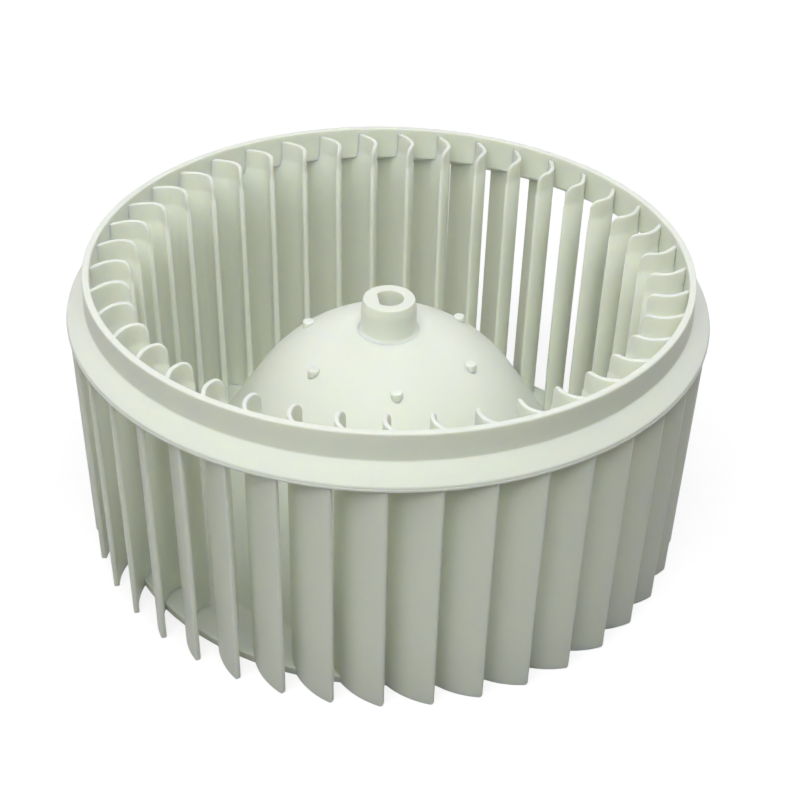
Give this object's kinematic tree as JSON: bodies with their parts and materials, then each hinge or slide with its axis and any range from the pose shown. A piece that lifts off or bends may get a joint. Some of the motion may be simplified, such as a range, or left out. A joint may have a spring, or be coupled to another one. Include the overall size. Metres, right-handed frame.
{
  "type": "centrifugal blower impeller",
  "caption": "Moulded drum impeller with a ring of forward-curved blades, a stepped inlet collar, a domed closed base and a central hub with a D-shaped shaft bore.",
  "frame": {"origin": "on the drum's axis, in the plane of the blades' lower tips, on which the part stands", "axes": "+Z along the axis from the closed base to the open inlet, -Y towards the front of the picture, +X to its right"},
  "size_m": [0.15, 0.15, 0.0723],
  "materials": {
    "pale_plastic": "satin moulded"
  },
  "bodies": {
    "root": {"impeller": "pale_plastic"}
  },
  "joints": []
}
